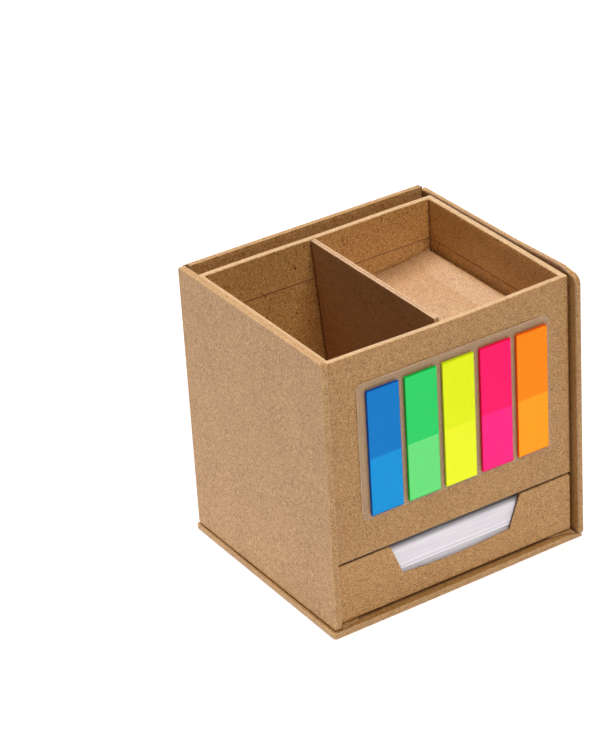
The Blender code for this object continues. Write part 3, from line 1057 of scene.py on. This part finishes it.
# The drawer face gets painted light all over and painted shade on the notch's sides.
board("drawer_face", kraft_wrap, "drawer_front", edge=FRONT_EDGE, corner=DRAWER_CORNER,
      notch=notch, rubbed_and_highlight=0.2, dark=notch_sides, painted_light=0.5,
      grow=((0.0, 0.0, FACE_CLEARANCE), (0.0, 0.0, -FACE_FALL)))
board("drawer_wall_back", kraft_wrap, "drawer_back_wall", edge=DRAWER_EDGE)
for wall_side in ("left", "right"):
    board("drawer_wall_" + wall_side, kraft_wrap, f"drawer_{wall_side}_wall",
          edge=DRAWER_EDGE, grow=((0.0, -GLUE_GAP, 0.0), (0.0, GLUE_GAP, 0.0)))
board("drawer_floor", kraft_lining, "drawer_bottom", edge=DRAWER_EDGE)

# %% [markdown]
# ## Sheets
#
# A block of paper isn't a smooth white brick. Its sheets are cut a little unevenly and
# slip on each other, and the light catches each edge. Hundreds of separate sheets would
# do it at a high price, so a pile is one skin: each sheet is a band of the grid, with its
# own small slip, and a fine groove parts it from the next. Towards the top the sheets'
# fronts lie further back, and two sheets stick out with a painted highlight on their
# edges. Right under the pencil box the fronts are painted darker, as deep as its shadow
# there, and the lowest sheets get some painted shade as well. The paper also has a faint
# painted glow.

# %% Piles of sheets
SHEET_PITCH = 0.00017
GROOVE_SHARE = 0.22
CLOSING_RINGS = np.array([0.0, 0.4, 0.8, 0.98])


def pile_grid(low, high, sheets, corner, slip, groove, seed, retreat=None):
    """Points of a pile of sheets, and where they are on its sides.

    The sheets lie one on the other along the third axis. A point on the edge of a sheet
    is middle + slip of the sheet + core (half size - corner) + normal corner, and a
    groove lies that much further in. Rings that shrink to the middle close both ends.
    retreat is a function of the height that says how far a sheet's front lies back.
    """
    low, high = np.array(low), np.array(high)
    pitch = (high[2] - low[2]) / sheets
    floors = np.arange(sheets)[:, None] + [0.0, GROOVE_SHARE, 1 - GROOVE_SHARE]
    depth = np.append(floors.ravel(), sheets) * pitch
    inset = np.append(np.tile([groove, 0.0, 0.0], sheets), groove)
    random = np.random.default_rng(seed)
    slips = random.normal(0.0, slip, (sheets, 2)).clip(-2 * slip, 2 * slip)
    rings = len(CLOSING_RINGS)
    slips = np.pad(np.repeat(slips, 3, axis=0), ((rings, rings + 1), (0, 0)), mode="edge")
    size = np.concatenate([CLOSING_RINGS, np.ones(len(depth)), CLOSING_RINGS[::-1]])
    depth, inset = (np.pad(values, rings, mode="edge") for values in (depth, inset))
    core, normal = ring_path(corner_steps=3, width_steps=4, depth_steps=4)
    half = (high[:2] - low[:2]) / 2 - 2 * slip
    plane = core[None] * (half - corner - inset[:, None])[:, None] + normal[None] * corner
    plane = plane * size[:, None, None] + slips[:, None] + (low[:2] + high[:2]) / 2
    level = np.broadcast_to((low[2] + depth)[:, None, None], (*plane.shape[:2], 1))
    if retreat:
        ahead = (high[1] - plane[..., 1]) / (high[1] - low[1])
        plane[..., 1] += ahead * retreat(level[..., 0])
    side = (size == 1.0).astype(float)[:, None]
    return np.concatenate([plane, level], axis=-1), side


# %% Memo paper
MEMO_TONES = ((230, 225, 232), (240, 235, 238))
GRAIN_CONTRAST = 0.05
BAND_STRETCH = (0.02, 0.02, 1.0)
BAND_CONTRAST = 0.34


def make_memo_paper():
    """White writing paper with edges that differ a little from sheet to sheet, painted shade
    where the shade mark says, and a faint painted glow.
    """
    # The emission is a faint painted glow.
    paint = Paint("memo_paper", Roughness=0.72, Emission_Strength=0.08)
    grain = paint.noise(scale=2400.0)
    cloud = paint.noise(scale=90.0)
    stretched = paint.node("ShaderNodeMapping", {}, {"Vector": paint.place,
                                                      "Scale": BAND_STRETCH})
    band = paint.noise(scale=2600.0, where=stretched)
    level = (1 + GRAIN_CONTRAST * (grain - 0.5) + BAND_CONTRAST * (band - 0.5)
             - paint.mark("shade"))
    tone = paint.shade(paint.mix(cloud, *(colour(*tint) for tint in MEMO_TONES)), level)
    paint.feed("Base Color", tone)
    paint.feed("Emission Color", tone)
    paint.relief(grain, depth=0.00001)
    return paint.material


memo_paper = make_memo_paper()
print("memo paper:", memo_paper.name)

# %% Memo blocks
MEMO_SEEDS = {"lower": 3, "upper": 5}
TOP_RETREAT = 0.0019
TOP_RUN = (0.0200, 0.0232)
FOOT_RETREAT = 0.00030
FOOT_LEVEL = 0.0135
STICKING_SHEETS = (0.0137, 0.0152)
STICK_OUT = 0.00012
STICKING_LIGHT = 0.30
FRONT_REACH = 0.0040
SHADE = 0.80
SHADE_RUN = (0.0206, 0.0222)
FOOT_SHADE = 0.13


def sheet_retreat(level):
    """How far a sheet's front lies back: more towards the top, and a little at the foot."""
    back = TOP_RETREAT * climb(level, TOP_RUN) + FOOT_RETREAT * (level < FOOT_LEVEL)
    for sheet in STICKING_SHEETS:
        back = back - STICK_OUT * (np.abs(level - sheet) < SHEET_PITCH / 2)
    return back


def sheet_shade(level):
    """Painted shade on a sheet's edge: the box's shadow, some at the foot, and less, a painted
    highlight, on the sticking sheets.
    """
    shade = SHADE * climb(level, SHADE_RUN) + FOOT_SHADE * (level < STICKING_SHEETS[0])
    for sheet in STICKING_SHEETS:
        shade = shade - STICKING_LIGHT * (np.abs(level - sheet) < SHEET_PITCH)
    return shade


for block, seed in MEMO_SEEDS.items():
    block_low, block_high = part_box("memo_sheets_" + block)
    if block == "lower":
        block_high.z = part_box("memo_sheets_upper")[0].z
    count = round((block_high.z - block_low.z) / SHEET_PITCH)
    pile, side = pile_grid(block_low, block_high, count, corner=0.0003, slip=0.00004,
                           groove=0.00005, seed=seed, retreat=sheet_retreat)
    in_front = side * (pile[..., 1] < block_low.y + FRONT_REACH)
    block_mesh = grid_mesh("memo_block_" + block, pile,
                           {"shade": in_front * sheet_shade(pile[..., 2])})
    add_piece("memo_block_" + block, block_mesh, memo_paper, "memo_sheets_" + block)

# %% [markdown]
# ## Page flags
#
# Each flag is a strip of coloured film, and a pad of them is a pile like the sheets that
# lies against the front. The lower part, which has the glue, looks lighter than the
# writing part. Light that passes through many films at the pile's edge comes out darker
# and purer: the edge's colour is the film's own raised to a power, which takes most from
# its weak channels.

# %% Page flags
FLAG_FILMS = 12
MOTTLE = 0.05
GLUE_LINE = (0.536, 0.544)
EDGE_POWER = 1.6
EDGE_LEVEL = 0.80
FLAG_TINTS = {
    "blue": ((4, 122, 200), (14, 148, 218)),
    "green": ((46, 212, 104), (108, 228, 126)),
    "yellow": ((232, 244, 20), (242, 250, 40)),
    "pink": ((255, 16, 104), (255, 34, 132)),
    "orange": ((255, 138, 10), (255, 162, 24)),
}


def make_film(name, upper, lower):
    """Coloured film with a paler glued part, dark pure edges and a faint painted glow."""
    # The emission is a faint painted glow.
    paint = Paint(name, Roughness=0.38, Specular_IOR_Level=0.1, Emission_Strength=0.06)
    film = paint.mix(paint.ramp(paint.mark("drop"), *GLUE_LINE), upper, lower)
    deep = [EDGE_LEVEL * share ** EDGE_POWER for share in upper[:3]]
    mottle = 1 + MOTTLE * (paint.noise(scale=700.0) - 0.5)
    tone = paint.shade(paint.mix(paint.mark("side"), film, (*deep, 1.0)), mottle)
    paint.feed("Base Color", tone)
    paint.feed("Emission Color", tone)
    paint.relief(paint.noise(scale=1500.0, detail=1.0), depth=0.000004)
    return paint.material


for seed, (tint, (upper, lower)) in enumerate(FLAG_TINTS.items(), start=20):
    node = "flag_pad_" + tint
    pad_low, pad_high = (np.array(point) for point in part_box(node))
    order = [0, 2, 1]
    pile, side = pile_grid(pad_low[order], pad_high[order], FLAG_FILMS, corner=0.00012,
                           slip=0.00004, groove=0.00002, seed=seed)
    drop = (pad_high[2] - pile[..., 1]) / (pad_high[2] - pad_low[2])
    pad_mesh = grid_mesh("flags_" + tint, pile[..., order], {"side": side, "drop": drop})
    film = make_film("flag_" + tint, colour(*upper), colour(*lower))
    add_piece("flags_" + tint, pad_mesh, film, node)

# %% [markdown]
# ## Clear card
#
# The flags sit on a sheet of clear film. Glass would be one way to make it, but a mostly
# see-through surface does as well and costs less time. It hides little of the paper
# behind it, pales it slightly and shines, and its cut edge carries a painted highlight.

# %% Clear card
CARD_TONES = ((214, 180, 142), (240, 228, 214))
CARD_COVER = 0.28
HAZE_COVER = 0.12
RIM_COVER = 0.5

paint = Paint("clear_card", Roughness=0.16)
# The rim mark gives the cut edge a painted highlight: a paler tone and more cover.
card_rim, haze = paint.mark("rim"), paint.noise(scale=160.0)
paint.feed("Base Color", paint.mix(card_rim, *(colour(*tint) for tint in CARD_TONES)))
paint.feed("Alpha", CARD_COVER + HAZE_COVER * haze + RIM_COVER * card_rim)
board("card_film", paint.material, "flag_card", edge=0.00009, corner=0.0022)

# %% [markdown]
# ## Last step
#
# Any node of the frame that is still shown is printed as still plain.

# %% Finish
for name, node in frame["nodes"].items():
    if not node.hide_render:
        print("still plain:", name)
